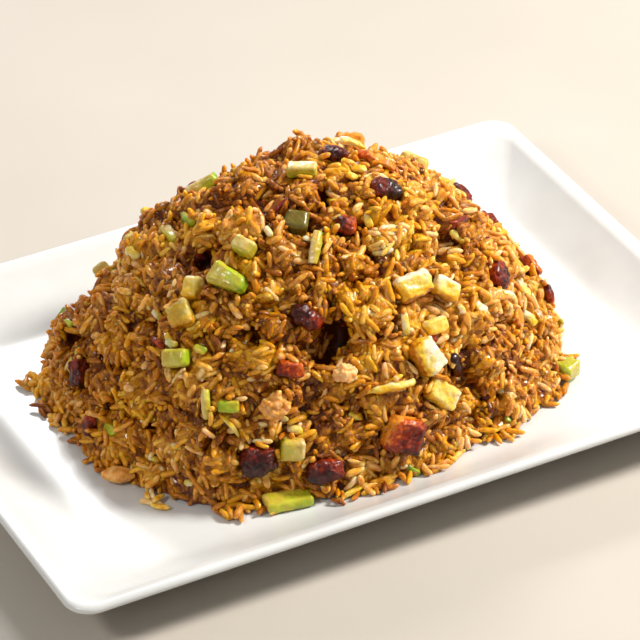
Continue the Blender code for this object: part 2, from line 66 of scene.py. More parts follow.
# Platter, with the same named sizes as its solid.
PLATTER_LENGTH = 0.305
PLATTER_WIDTH = 0.2165
PLATTER_HEIGHT = 0.0245
CORNER_RADIUS = 0.010
WELL_CORNER_RADIUS = 0.026
COVE_WIDTH = 0.032
COVE_POWER = 1.4
COVE_EASING = 0.22
WELL_INSET = 0.058
LIP_WIDTH = 0.0045
LIP_RADIUS = 0.0019
WELL_HEIGHT = 0.008
WALL = 0.0052
FOOT_INSET = 0.042
FOOT_RING = 0.0035
FOOT_RECESS = 0.0012
CORNER_STEPS = 14
COVE_STEPS = 40
LIP_STEPS = 12
UNDER_STEPS = 12

# Surface of the heap, and the core that fills the gaps between its grains
SURFACE_VOXEL = 1.15 * MM
SURFACE_SMOOTHING = 15
SURFACE_OFFSET = -0.5 * MM
CLUMP_SIZE = 17 * MM
CLUMP_RISE = 5.0 * MM
CLUMP_UNEVEN = 3.2 * MM
CLUMP_TONE = 0.32
DARKEST_CLUMP = 0.10  # how much darker in tone than the rest a clump may be
CLOD_SIZE = 8 * MM
CLOD_RISE = 2.0 * MM
TONE_PATCH = 30 * MM
HUE_PATCH = 16 * MM
# Painted light: the rice is painted paler and tanner towards the right, the side the key light falls on.
PAINTED_LIGHT_REACH = 90 * MM  # from the middle to where the rice is palest, on the right
PAINTED_LIGHT_TONE = 0.14
PAINTED_LIGHT_HUE = 0.30
BANK_DIP = 0.9 * MM  # how far the rice lies back around a topping
GRAIN_DEPTH = 3.0 * MM
CORE_DEPTH = 1.9 * MM  # where no grain lies
CORE_HIGHEST = 1.3 * MM
CORE_BELOW = 0.22 * MM  # how far the core stays under the grains' tops
CORE_BLUR = 2
CORE_RELIEF = 0.35 * MM
CORE_REACH = 2.2 * MM
# Painted shade, with soy pooled there too: the core darker in the creases and hollows.
CORE_PAINTED_SHADE = 0.65  # how much darker in tone the core is in the deepest hollow

# Dark hollows: pixel, radius and depth in mm
DEEPEST_HOLLOW = 9.0
HOLLOWS = (
    ((334, 334), 4.2, 9.0),
    ((327, 352), 4.2, 9.0),
    ((446, 240), 2.2, 5.0),
    ((446, 256), 2.2, 5.0),
    ((310, 224), 4.0, 6.5),
    ((345, 232), 4.0, 6.0),
    ((200, 255), 4.0, 6.0),
    ((93, 307), 3.2, 5.0),
    ((202, 339), 2.6, 5.0),
    ((190, 335), 2.4, 4.0),
    ((182, 287), 2.4, 4.0),
    ((466, 287), 3.0, 5.0),
    ((504, 315), 3.0, 5.0),
    ((372, 250), 3.0, 4.5),
    ((250, 335), 3.4, 4.5),
    ((228, 436), 3.4, 5.0),
    ((462, 372), 3.4, 5.0),
)
PIT_SIZE = 6.4 * MM
PIT_LEVEL = 0.24  # noise above which the surface dips into a pit
PIT_DEPTH = 3.4 * MM
PIT_BARENESS = 0.62

# Grains
GRAIN_LENGTH = (6.0, 9.0)  # mm
GRAIN_WIDTH = (2.1, 2.95)  # mm
BROKEN_SHARE = 0.14
GRAIN_RINGS = 6
GRAIN_SIDES = 5
GRAIN_BALLS = 5
GRAIN_SQUEEZE = 0.50  # neighbours' distance as a share of their widths
GRAIN_TRIES = 34000
GRAIN_HEADINGS = 2
GRAIN_LIMIT = 10800
GRAIN_TILT = 0.24
GRAIN_HIGHEST = (-0.6, 1.0)  # mm above the surface
STRAY_HIGHEST = 1.9
STRAY_SHARE = 0.06
STRAY_TILT = 0.5
HOLLOW_BARE = 0.45  # share of the deepest hollow from which few grains lie
PACKING_CELL = 2.4 * MM
PACKING_ROOM = 200000  # more balls than there will be
BALL_REACH = 1.4 * MM  # how far around a ball the ones it may touch are looked for
TOPPING_BALLS = (150, 0.6 * MM)  # number and radius of those that keep grains off a topping
BIT_BALLS = (40, 0.5 * MM)  # the same for a small bit
HEAP_MIDDLE = np.array((0.0, 0.0, 0.02))
STUCK_TRIES = (12, 30)
STUCK_REACH = 2.4 * MM  # how high up a topping grains stick
STUCK_FACING = 0.75  # grains stick to a topping where it faces less outwards than this
FOOT_CLUSTERS = 64
FOOT_CLUSTER = (2, 14)  # fewest grains tried in one, and one more than the most
FOOT_HIGHEST = 2.8 * MM
FOOT_SECTOR = 3  # degrees to both sides over which the heap's reach is measured


# Small helpers

def view_axes():
    """Right, level backwards, up and towards the camera, for the photograph's viewpoint."""
    right = Vector((math.cos(VIEW_ROUND), -math.sin(VIEW_ROUND), 0))
    back = Vector((math.sin(VIEW_ROUND), math.cos(VIEW_ROUND), 0))
    up = back * math.sin(VIEW_ABOVE) + Vector((0, 0, math.cos(VIEW_ABOVE)))
    return right, back, up, right.cross(up)


RIGHT, BACK, UP, TOWARDS = view_axes()
CAMERA_AT = LOOK_AT + TOWARDS * VIEW_DISTANCE


def ray_through(pixel):
    """Direction from the camera through a pixel of the 640 by 640 frame."""
    focal = LENS / SENSOR * FRAME_PIXELS
    middle = FRAME_PIXELS / 2
    return (RIGHT * (pixel[0] - middle) + UP * (middle - pixel[1]) - TOWARDS * focal).normalized()


def mesh_from_arrays(name, points, triangles):
    mesh = bpy.data.meshes.new(name)
    mesh.vertices.add(len(points))
    mesh.vertices.foreach_set("co", np.asarray(points, np.float32).ravel())
    mesh.loops.add(len(triangles) * 3)
    mesh.loops.foreach_set("vertex_index", np.asarray(triangles, np.int32).ravel())
    mesh.polygons.add(len(triangles))
    mesh.polygons.foreach_set("loop_start", np.arange(0, len(triangles) * 3, 3, dtype=np.int32))
    mesh.update(calc_edges=True)
    mesh.validate()
    mesh.shade_smooth()
    return mesh


def copied_faces(faces, corners, count):
    """The faces of so many copies of a shape that has so many corners."""
    return (faces[None] + (np.arange(count) * corners)[:, None, None]).reshape(-1, 3)


def new_object(name, data):
    made = bpy.data.objects.new(name, data)
    bpy.context.scene.collection.objects.link(made)
    return made


def add_object(name, mesh, material):
    mesh.materials.clear()
    mesh.materials.append(material)
    return new_object(name, mesh)


def add_attributes(mesh, **named):
    """Values at a mesh's points, which the materials read by name."""
    for name, values in named.items():
        attribute = mesh.attributes.new(name, "FLOAT", "POINT")
        attribute.data.foreach_set("value", np.asarray(values, np.float32))


def rows_of(items, name, kind, width=3):
    """One property of all items in a part of a mesh, as the rows of an array."""
    values = np.empty(len(items) * width, kind)
    items.foreach_get(name, values)
    return values.reshape(-1, width)


def points_of(mesh):
    return rows_of(mesh.vertices, "co", np.float32).astype(float)


def normals_of(mesh):
    return rows_of(mesh.vertex_normals, "vector", np.float32).astype(float)


def set_points(mesh, points):
    mesh.vertices.foreach_set("co", points.astype(np.float32).ravel())
    mesh.update()


def triangles_of(mesh):
    mesh.calc_loop_triangles()
    return rows_of(mesh.loop_triangles, "vertices", np.int32)


def tree_of(mesh):
    return BVHTree.FromPolygons([v.co for v in mesh.vertices], triangles_of(mesh).tolist())


def unit(vector):
    return vector / np.linalg.norm(vector)


def unit_rows(rows):
    return rows / np.maximum(np.linalg.norm(rows, axis=1, keepdims=True), 1e-9)


def lumps(points, size, seed, octaves=2):
    """Smooth noise between about -1 and 1 at each point."""
    shift = Vector((seed * 1.37, seed * 2.11, seed * 0.53))
    return np.array([noise.fractal(Vector(point) / size + shift, 1.0, 2.0, octaves) for point in points])


def cells(points, size, seed):
    """For each point: how deep it lies inside its cell, from 0 at the crease to 1, and the cell's centre."""
    shift = Vector((seed * 3.17, seed * 1.71, seed * 2.33))
    depth, centres = [], []
    for point in points:
        distances, places = noise.voronoi(Vector(point) / size + shift)
        depth.append(min((distances[1] - distances[0]) / 0.45, 1.0))
        centres.append(places[0])
    return np.sin(np.array(depth) * math.pi / 2), centres


def per_cell(centres, spread):
    """A value between about -1 and 1 for each cell, by its centre."""
    return np.array([noise.noise(centre * spread) for centre in centres])


def remeshed(mesh, voxel, smoothing):
    """An even copy of a closed mesh, its edges rounded."""
    work = new_object("work", mesh.copy())
    remesh = work.modifiers.new("remesh", "REMESH")
    remesh.mode = "VOXEL"
    remesh.voxel_size = voxel
    smooth = work.modifiers.new("smooth", "SMOOTH")
    smooth.factor = 0.5
    smooth.iterations = smoothing
    depsgraph = bpy.context.evaluated_depsgraph_get()
    made = bpy.data.meshes.new_from_object(work.evaluated_get(depsgraph))
    bpy.data.objects.remove(work)
    made.shade_smooth()
    return made


# Materials

def add_node(tree, kind, inputs=None, **settings):
    made = tree.nodes.new(kind)
    for key, value in settings.items():
        setattr(made, key, value)
    for key, value in (inputs or {}).items():
        if isinstance(value, bpy.types.NodeSocket):
            tree.links.new(value, made.inputs[key])
        else:
            made.inputs[key].default_value = value
    return made


def new_material(name, inputs):
    material = bpy.data.materials.new(name)
    material.use_nodes = True
    shader = material.node_tree.nodes["Principled BSDF"]
    for key, value in inputs.items():
        shader.inputs[key].default_value = value
    return material, material.node_tree, shader


def flesh(weight, radius, scale):
    """How light is scattered under a surface."""
    return {"Subsurface Weight": weight, "Subsurface Radius": radius, "Subsurface Scale": scale}


def coat(weight, roughness):
    return {"Coat Weight": weight, "Coat Roughness": roughness}


def ramp(tree, factor, stops):
    made = add_node(tree, "ShaderNodeValToRGB", {"Fac": factor})
    elements = made.color_ramp.elements
    while len(elements) < len(stops):
        elements.new(1.0)
    for element, (place, colour) in zip(elements, stops):
        element.position = place
        element.color = (*colour, 1.0)
    return made.outputs["Color"]


def maths(tree, operation, first, second, third=0.0, clamp=False):
    made = add_node(tree, "ShaderNodeMath", {0: first, 1: second, 2: third},
                    operation=operation, use_clamp=clamp)
    return made.outputs["Value"]


def mixed(tree, factor, first, second, blend="MIX"):
    made = add_node(tree, "ShaderNodeMix", {0: factor, 6: first, 7: second},
                    data_type="RGBA", blend_type=blend)
    return made.outputs[2]


def value_of(tree, name):
    return add_node(tree, "ShaderNodeAttribute", attribute_name=name).outputs["Fac"]


def noise_of(tree, scale, detail=3.0, roughness=0.55):
    where = add_node(tree, "ShaderNodeTexCoord").outputs["Object"]
    made = add_node(tree, "ShaderNodeTexNoise",
                    {"Vector": where, "Scale": scale, "Detail": detail, "Roughness": roughness})
    return made.outputs["Fac"]


def patchy(tree, name, patches, spread, lowest, clamp=True):
    """A value of the points with noise added, which runs from the lowest amount over the spread."""
    added = maths(tree, "MULTIPLY_ADD", patches, spread, lowest)
    return maths(tree, "ADD", value_of(tree, name), added, clamp=clamp)


def shaded(tree, colour):
    """A colour times the piece's tone, of which 0.5 leaves it as it is."""
    shade = maths(tree, "MULTIPLY", value_of(tree, "tone"), 2.0)
    return mixed(tree, 1.0, colour, shade, "MULTIPLY")


def painted(tree, shader, colour):
    tree.links.new(colour, shader.inputs["Base Color"])


def glossy(tree, shader, scale, detail, spread, least):
    """Roughness that follows noise, from the least over the spread."""
    gloss = maths(tree, "MULTIPLY_ADD", noise_of(tree, scale, detail), spread, least)
    tree.links.new(gloss, shader.inputs["Roughness"])


def bumped(tree, shader, height, distance, strength=1.0):
    bump = add_node(tree, "ShaderNodeBump", {"Strength": strength, "Distance": distance, "Height": height})
    tree.links.new(bump.outputs["Normal"], shader.inputs["Normal"])


def porcelain():
    material, tree, shader = new_material("porcelain", {"Roughness": 0.30, "IOR": 1.45, **coat(0.12, 0.12)})
    stops = ((0.35, (0.640, 0.655, 0.65)), (0.65, (0.670, 0.682, 0.68)))
    painted(tree, shader, ramp(tree, noise_of(tree, 60.0, 2.0), stops))
    bumped(tree, shader, noise_of(tree, 110.0, 1.0), 0.00003)
    return material


def bisque():
    material, tree, shader = new_material("bisque", {"Roughness": 0.75, "Specular IOR Level": 0.3})
    stops = ((0.3, (0.60, 0.56, 0.48)), (0.7, (0.72, 0.68, 0.60)))
    painted(tree, shader, ramp(tree, noise_of(tree, 900.0, 4.0), stops))
    bumped(tree, shader, noise_of(tree, 2500.0), 0.0001)
    return material


GOLDEN = (
    (0.00, (0.11, 0.018, 0.001)),
    (0.25, (0.31, 0.095, 0.002)),
    (0.50, (0.57, 0.220, 0.003)),
    (0.75, (0.80, 0.390, 0.012)),
    (1.00, (0.92, 0.600, 0.150)),
)
TAN = (
    (0.00, (0.14, 0.028, 0.002)),
    (0.30, (0.38, 0.125, 0.008)),
    (0.60, (0.74, 0.340, 0.060)),
    (1.00, (0.94, 0.640, 0.350)),
)


def rice_colour(tree, hue, tone):
    return mixed(tree, hue, ramp(tree, tone, GOLDEN), ramp(tree, tone, TAN))


def cooked_rice():
    material, tree, shader = new_material("cooked_rice", {
        "IOR": 1.25, **coat(0.40, 0.08), **flesh(0.65, (1.0, 0.45, 0.06), 0.0034)})
    tone = patchy(tree, "tone", noise_of(tree, 420.0, 3.0), 0.90, -0.45, clamp=False)
    tips = maths(tree, "MULTIPLY", value_of(tree, "along"), 0.12)
    tone = maths(tree, "ADD", tone, tips, clamp=True)
    hue = maths(tree, "MULTIPLY_ADD", noise_of(tree, 240.0, 2.0), 1.1, value_of(tree, "hue"), clamp=True)
    painted(tree, shader, rice_colour(tree, hue, tone))
    glossy(tree, shader, 700.0, 2.0, 0.30, 0.12)
    bumped(tree, shader, noise_of(tree, 1300.0, 3.0), 0.00024, 0.9)
    return material


def soaked_rice():
    """The core between the grains: wet and rough, darker in the creases and hollows with painted shade and
    with soy pooled there.
    """
    material, tree, shader = new_material("soaked_rice", {
        "IOR": 1.25, "Roughness": 0.26, **coat(0.28, 0.05), **flesh(0.55, (1.0, 0.45, 0.06), 0.0030)})
    tone = patchy(tree, "tone", noise_of(tree, 360.0, 4.0), 1.20, -0.13)
    hue = patchy(tree, "hue", noise_of(tree, 240.0, 2.0), 1.1, -0.65)
    painted(tree, shader, rice_colour(tree, hue, tone))
    bumped(tree, shader, noise_of(tree, 620.0, 4.0), 0.0010)
    return material


def roast_pork():
    material, tree, shader = new_material("roast_pork", {
        "IOR": 1.28, **coat(0.36, 0.04), **flesh(0.05, (1.0, 0.2, 0.05), 0.001)})
    tone = patchy(tree, "tone", noise_of(tree, 330.0, 5.0, 0.65), 1.2, -0.6, clamp=False)
    # accent: the red glazed side, and partly painted light and shade
    accent = maths(tree, "MULTIPLY_ADD", value_of(tree, "accent"), 0.60, tone, clamp=True)
    stops = ((0.10, (0.010, 0.001, 0.0005)), (0.38, (0.070, 0.004, 0.001)), (0.62, (0.25, 0.020, 0.002)),
             (0.82, (0.52, 0.085, 0.004)), (1.0, (0.72, 0.26, 0.02)))
    painted(tree, shader, ramp(tree, accent, stops))
    glossy(tree, shader, 900.0, 3.0, 0.40, 0.16)
    where = add_node(tree, "ShaderNodeTexCoord").outputs["Object"]
    cracks = add_node(tree, "ShaderNodeTexVoronoi", {"Vector": where, "Scale": 900.0, "Randomness": 1.0},
                      feature="DISTANCE_TO_EDGE").outputs["Distance"]
    height = maths(tree, "MULTIPLY_ADD", cracks, 0.5, noise_of(tree, 1100.0, 4.0, 0.6))
    bumped(tree, shader, height, 0.0003)
    return material


def green_vegetable():
    material, tree, shader = new_material("green_vegetable", {
        "IOR": 1.42, **coat(0.4, 0.15), **flesh(0.25, (0.8, 1.0, 0.25), 0.0016)})
    # accent: the darker skin side, and partly painted shade
    skin_and_shade = patchy(tree, "accent", noise_of(tree, 300.0, 4.0), 0.7, -0.35)
    stops = ((0.00, (0.68, 0.58, 0.27)), (0.20, (0.62, 0.48, 0.09)), (0.40, (0.52, 0.49, 0.030)),
             (0.62, (0.36, 0.48, 0.014)), (0.80, (0.21, 0.38, 0.009)), (1.0, (0.15, 0.12, 0.012)))
    stain = ramp(tree, noise_of(tree, 190.0, 3.0), ((0.40, (1, 1, 1)), (0.72, (0.86, 0.58, 0.24))))
    stained = mixed(tree, 0.85, ramp(tree, skin_and_shade, stops), stain, "MULTIPLY")
    painted(tree, shader, shaded(tree, stained))
    glossy(tree, shader, 800.0, 2.0, 0.3, 0.16)
    bumped(tree, shader, noise_of(tree, 800.0, 4.0), 0.0003)
    return material


def cooked_onion():
    material, tree, shader = new_material("cooked_onion", {
        "IOR": 1.35, **coat(0.5, 0.06), **flesh(0.55, (1.0, 0.6, 0.25), 0.0035)})
    # accent: the fried amber side, and partly painted shade on the side away from the light
    amber = patchy(tree, "accent", noise_of(tree, 260.0, 4.0), 1.3, -0.6)
    stops = ((0.00, (0.80, 0.71, 0.50)), (0.22, (0.75, 0.59, 0.16)), (0.50, (0.78, 0.50, 0.030)),
             (0.76, (0.78, 0.37, 0.008)), (1.0, (0.44, 0.15, 0.004)))
    painted(tree, shader, shaded(tree, ramp(tree, amber, stops)))
    glossy(tree, shader, 700.0, 2.0, 0.28, 0.14)
    bumped(tree, shader, noise_of(tree, 800.0, 4.0), 0.0004)
    return material


def floor_paint():
    material, tree, shader = new_material("floor", {"Roughness": 0.6})
    stops = ((0.3, (0.47, 0.43, 0.375)), (0.7, (0.51, 0.465, 0.41)))
    painted(tree, shader, ramp(tree, noise_of(tree, 6.0), stops))
    return material


# Platter

def cove_height(inset):
    """Height of the upper face: the solid's cove, with its foot eased into the well."""
    climb = np.clip((COVE_WIDTH - inset) / (COVE_WIDTH - LIP_WIDTH), -1, 1)
    eased = (climb + np.sqrt(climb ** 2 + COVE_EASING ** 2)) / (1 + math.sqrt(1 + COVE_EASING ** 2))
    return WELL_HEIGHT + (PLATTER_HEIGHT - WELL_HEIGHT) * eased ** COVE_POWER


def platter_top(points):
    """Height of the platter's upper face under points away from its corners."""
    inset = np.minimum(PLATTER_LENGTH / 2 - np.abs(points[..., 0]),
                       PLATTER_WIDTH / 2 - np.abs(points[..., 1]))
    return cove_height(inset)


def platter_section():
    """Inset and height of each ring: well, cove, round the lip, underside, foot ring, recess."""
    section = []
    for step in range(COVE_STEPS):
        inset = WELL_INSET + (LIP_WIDTH - WELL_INSET) * step / COVE_STEPS
        section.append((inset, float(cove_height(inset))))
    for step in range(LIP_STEPS + 1):
        angle = math.radians(120 - 180 * step / LIP_STEPS)
        section.append((LIP_RADIUS * (1 - math.cos(angle)),
                        PLATTER_HEIGHT - LIP_RADIUS * (1 - math.sin(angle))))
    for step in range(UNDER_STEPS + 1):
        inset = LIP_WIDTH + (FOOT_INSET - LIP_WIDTH) * step / UNDER_STEPS
        section.append((inset, max(float(cove_height(inset)) - WALL, WELL_HEIGHT - WALL)))
    section.append((FOOT_INSET + 0.3 * MM, 0.0008))
    section.append((FOOT_INSET + MM, 0.0))
    section.append((FOOT_INSET + FOOT_RING, 0.0))
    section.append((FOOT_INSET + FOOT_RING + MM, FOOT_RECESS))
    section.append((FOOT_INSET + FOOT_RING + 8 * MM, FOOT_RECESS))
    return section


def rounded_rectangle(inset, height):
    share = min(inset / COVE_WIDTH, 1.0)
    radius = CORNER_RADIUS + (WELL_CORNER_RADIUS - CORNER_RADIUS) * share
    reach_x = PLATTER_LENGTH / 2 - inset - radius
    reach_y = PLATTER_WIDTH / 2 - inset - radius
    ring = []
    for corner, (side_x, side_y) in enumerate(((1, -1), (1, 1), (-1, 1), (-1, -1))):
        for step in range(CORNER_STEPS + 1):
            angle = math.radians(90) * (corner - 1 + step / CORNER_STEPS)
            ring.append((side_x * reach_x + radius * math.cos(angle),
                         side_y * reach_y + radius * math.sin(angle), height))
    return ring


def make_platter():
    section = platter_section()
    bm = bmesh.new()
    rings = [[bm.verts.new(point) for point in rounded_rectangle(*row)] for row in section]
    for row, (ring, following) in enumerate(zip(rings, rings[1:])):
        unglazed = section[row][1] == 0.0 and section[row + 1][1] == 0.0
        for i in range(len(ring)):
            j = (i + 1) % len(ring)
            face = bm.faces.new((ring[i], ring[j], following[j], following[i]))
            face.material_index = int(unglazed)
    bm.faces.new(rings[0])
    bm.faces.new(rings[-1])
    bmesh.ops.recalc_face_normals(bm, faces=bm.faces)
    for face in bm.faces:
        face.smooth = True
    mesh = bpy.data.meshes.new("platter_glazed")
    bm.to_mesh(mesh)
    bm.free()
    mesh.set_sharp_from_angle(angle=math.radians(50))
    platter = add_object("platter_glazed", mesh, porcelain())
    mesh.materials.append(bisque())
    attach(platter, "root")
    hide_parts("platter")
    return platter


# Heap

def cast(trees, pixel):
    """Place and normal where the camera's ray through a pixel first meets one of the surfaces."""
    direction = ray_through(pixel)
    for tree in trees:
        place, normal, _, _ = tree.ray_cast(CAMERA_AT, direction)
        if place is not None:
            return np.array(place), np.array(normal)
    return None


def clumped_surface(node_object, toppings):
    """The heap's outer surface with clumps and hollows, and what the grains need to know at each point."""
    mesh = remeshed(node_object.data, SURFACE_VOXEL, SURFACE_SMOOTHING)
    tree = tree_of(mesh)
    points, normals = points_of(mesh), normals_of(mesh)
    inside, centres = cells(points, CLUMP_SIZE, 1)
    fine, _ = cells(points, CLOD_SIZE, 2)
    lift = ((inside - 0.9) * CLUMP_RISE + per_cell(centres, 5.3) * CLUMP_UNEVEN
            + (fine - 0.8) * CLOD_RISE + SURFACE_OFFSET)
    beside = np.zeros(len(points))
    for topping in toppings:
        reach = points_of(topping.data)
        middle = reach.mean(axis=0)
        radius = np.linalg.norm(reach - middle, axis=1).max()
        away = np.linalg.norm(points - middle, axis=1) / radius
        beside = np.maximum(beside, np.clip((1.6 - away) / 0.6, 0, 1))
    pit = np.clip((lumps(points, PIT_SIZE, 9, 1) - PIT_LEVEL) / 0.25, 0, 1) * (1 - beside)
    lift = lift * (1 - 0.8 * beside) - BANK_DIP * beside - PIT_DEPTH * pit
    hollow = pit * PIT_BARENESS
    for pixel, radius, depth in HOLLOWS:
        place, _ = cast([tree], pixel)
        away = np.linalg.norm(points - place, axis=1)
        dent = np.exp(-(away / (radius * MM)) ** 2)
        lift -= depth * MM * dent
        hollow = np.maximum(hollow, dent * depth / DEEPEST_HOLLOW)
    foot = np.clip((points[:, 2] - WELL_HEIGHT - 2 * MM) / (10 * MM), 0, 1)
    lift = np.where(lift < 0, lift * foot, lift * (0.4 + 0.6 * foot))
    flat = np.where((normals[:, 2] < -0.5)[:, None], 0.0, normals)
    points += flat * lift[:, None]
    points[:, 2] = np.maximum(points[:, 2], WELL_HEIGHT + 0.2 * MM)
    set_points(mesh, points)
    # painted light: the rice paler and tanner towards the lit right side
    painted_light = np.clip(points @ np.array(RIGHT) / PAINTED_LIGHT_REACH, 0, 1)
    ground = {
        # depth: how far into a crease or hollow a point lies, which darkens the rice there as painted shade,
        # partly also for soy pooled there
        "depth": np.clip(hollow + (1 - inside) * 0.55 + (1 - fine) * 0.25, 0, 1),
        "hollow": hollow,
        "heading": per_cell(centres, 3.1) * math.tau * 2,
        "tone": (np.maximum(per_cell(centres, 7.7) * CLUMP_TONE, -DARKEST_CLUMP)
                 + lumps(points, TONE_PATCH, 7) * 0.10 + painted_light * PAINTED_LIGHT_TONE),
        "hue": lumps(points, HUE_PATCH, 8) * 0.75 - 0.05 + painted_light * PAINTED_LIGHT_HUE,
    }
    return mesh, ground


def grain_tops(points, normals, packing, first):
    """How far above each point, along its normal, the grains reach that were laid from the first one on."""
    height = np.full(len(points), -CORE_DEPTH)
    for i, (point, normal) in enumerate(zip(points, normals)):
        near = [ball for ball in packing.near(point - CORE_REACH, point + CORE_REACH) if ball >= first]
        if not near:
            continue
        apart = packing.points[near] - point
        along = apart @ normal
        over = packing.radii[near] ** 2 - (apart ** 2).sum(axis=1) + along ** 2
        hit = over > 0
        if hit.any():
            height[i] = max(height[i], (along[hit] + np.sqrt(over[hit])).max())
    return np.minimum(height, CORE_HIGHEST)


def blurred(mesh, values, times):
    """Values at a mesh's points, averaged with their neighbours' so many times."""
    ends = rows_of(mesh.edges, "vertices", np.int32, 2)
    first, second = ends.T
    size = len(values)
    count = np.bincount(ends.ravel(), minlength=size) + 1
    for _ in range(times):
        values = (values + np.bincount(first, values[second], size)
                  + np.bincount(second, values[first], size)) / count
    return values


def make_core(surface, ground, packing, first):
    """The sticky mass under the grains, which follows them and fills the gaps between them."""
    mesh = surface.copy()
    mesh.name = "rice_core"
    points, normals = points_of(mesh), normals_of(mesh)
    lift = blurred(mesh, grain_tops(points, normals, packing, first), CORE_BLUR) - CORE_BELOW
    lift += lumps(points, 2.6 * MM, 3) * CORE_RELIEF
    outward = normals * lift[:, None]
    outward[:, 2] = np.where(normals[:, 2] < -0.3, 0.0, outward[:, 2])
    points += outward
    points[:, 2] = np.maximum(points[:, 2], platter_top(points) + 0.3 * MM)
    set_points(mesh, points)
    # painted shade, with soy pooled there too: darker tone in the creases and hollows
    add_attributes(mesh, tone=ground["tone"] - CORE_PAINTED_SHADE * ground["depth"], hue=ground["hue"])
    core = add_object("rice_core", mesh, soaked_rice())
    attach(core, "root")
    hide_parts("rice")
    return core


def standing_out(rows, core):
    """The grains of which some part shows above the core."""
    tree = tree_of(core.data)
    kept = []
    for row in rows:
        centre, axis, _, size = row[:4]
        for share in (-0.3, 0.0, 0.3):
            point = Vector(centre + axis * size[0] * share)
            place, normal, _, _ = tree.find_nearest(point)
            if (point - place).dot(normal) > -0.45 * size[1]:
                kept.append(row)
                break
    return kept


# Toppings: which way the coloured side of each faces as seen, how far it comes, and the tone. The coloured
# side is partly the piece's own browning, char and skin, and partly painted light and shade by how it faces
# the light.
# node: (direction in degrees, steepness, offset, tone)

LOOKS = {
    "pork_01": (180, 0.9, -0.10, 0.38),
    "pork_02": (0, 0.4, -0.10, 0.36),
    "pork_03": (0, 0.5, 0.40, 0.62),
    "pork_04": (0, 0.8, 0.05, 0.50),
    "pork_05": (320, 0.7, -0.05, 0.38),
    "pork_06": (60, 0.7, 0.08, 0.57),
    "pork_07": (90, 0.6, -0.10, 0.40),
    "pork_08": (60, 0.6, -0.05, 0.42),
    "pork_09": (130, 1.5, 0.28, 0.56),
    "pork_10": (150, 0.9, 0.10, 0.46),
    "pork_11": (45, 1.1, 0.15, 0.52),
    "pork_12": (270, 0.8, 0.05, 0.50),
    "pork_13": (90, 0.4, -0.05, 0.40),
    "pork_14": (90, 0.6, 0.10, 0.48),
    "pork_20": (90, 0.3, 0.40, 0.90),
    "green_01": (350, 0.60, 0.48, 0.5),
    "green_02": (270, 0.5, 0.25, 0.5),
    "green_03": (0, 0.5, 0.42, 0.5),
    "green_04": (200, 0.4, 0.52, 0.5),
    "green_05": (180, 0.4, 0.22, 0.5),
    "green_06": (0, 0.4, 0.26, 0.5),
    "green_07": (0, 1.1, 0.36, 0.5),
    "green_08": (270, 0.6, 0.22, 0.5),
    "green_09": (270, 0.5, 1.30, 0.5),
    "green_10": (0, 0.9, 0.16, 0.5),
    "green_11": (330, 0.4, 0.42, 0.5),
    "green_12": (200, 0.2, 0.42, 0.43),
    "green_13": (270, 0.3, 0.22, 0.5),
    "green_17": (270, 0.3, 0.20, 0.5),
    "onion_01": (285, 1.7, 0.34, 0.5),
    "onion_02": (270, 1.6, 0.34, 0.5),
    "onion_03": (195, 2.0, 0.36, 0.5),
    "onion_04": (180, 0.5, 0.34, 0.5),
    "onion_05": (270, 0.6, 0.36, 0.5),
    "onion_06": (270, 0.5, 0.20, 0.5),
    "onion_07": (270, 0.7, 0.40, 0.5),
    "onion_08": (250, 0.7, 0.40, 0.5),
    "onion_09": (270, 0.8, 0.52, 0.38),
    "onion_10": (270, 0.5, 0.55, 0.5),
    "onion_11": (0, 0.7, 0.10, 0.5),
    "onion_12": (270, 0.5, 0.66, 0.5),
}
UNSEEN_LOOKS = {
    # lowest and highest steepness, offset and tone of the ones on the far side
    "pork": ((0.4, 0.0, 0.36), (1.1, 0.3, 0.58)),
    "green": ((0.4, 0.25, 0.5), (1.2, 0.6, 0.5)),
    "onion": ((0.5, 0.15, 0.5), (1.2, 0.55, 0.5)),
}
TOPPING_VOXEL = 0.5 * MM
TOPPING_SMOOTHING = {"pork": 1, "green": 2, "onion": 5}
PORK_RELIEF = 0.52 * MM
SOFT_RELIEF = 0.28 * MM
ONION_RELIEF = 0.75 * MM
CRUMB_SIZE = 3.2 * MM
CRUMB_HUE = 0.70
CRUMBLY = {
    # rice-coloured clumps that crumble: tone, and rise of the crumbs in mm
    "onion_06": (0.75, 0.8),
    "onion_10": (0.62, 0.8),
    "onion_12": (0.60, 0.2),
}


def topping_look(node, kind, draw):
    if node in LOOKS:
        return LOOKS[node]
    low, high = UNSEEN_LOOKS[kind]
    return (draw.uniform(0, 360), *draw.uniform(low, high))


def accent_along(points, normals, heading, steepness, offset):
    """How far each point lies, and faces, towards the coloured side."""
    turn = math.radians(heading)
    side = np.array(RIGHT * math.cos(turn) + UP * math.sin(turn))
    along = points @ side
    middle = (along.max() + along.min()) / 2
    half = max((along.max() - along.min()) / 2, 1e-6)
    return offset + steepness * ((along - middle) / half * 0.3 + normals @ side * 0.25)


def roughen(points, normals, kind, number):
    """Points of a piece with its kind's crags, layers or soft dents."""
    fine = lumps(points, 1.4 * MM, number + 40)
    if kind == "pork":
        facets, _ = cells(points, 4.2 * MM, number)
        lift = PORK_RELIEF * (lumps(points, 3.2 * MM, number) + 0.6 * fine + 0.6 * (facets - 0.8))
    elif kind == "onion":
        bend = lumps(points, 6.0 * MM, number + 80) * 1.2 * MM
        layers = np.sin((points @ unit(np.array((0.3, 0.2, 1.0))) + bend) / (0.42 * MM))
        lift = ONION_RELIEF * (lumps(points, 4.6 * MM, number) + 0.2 * fine + 0.06 * layers)
    else:
        lift = SOFT_RELIEF * (lumps(points, 3.8 * MM, number) + 0.3 * fine)
    return points + normals * lift[:, None]


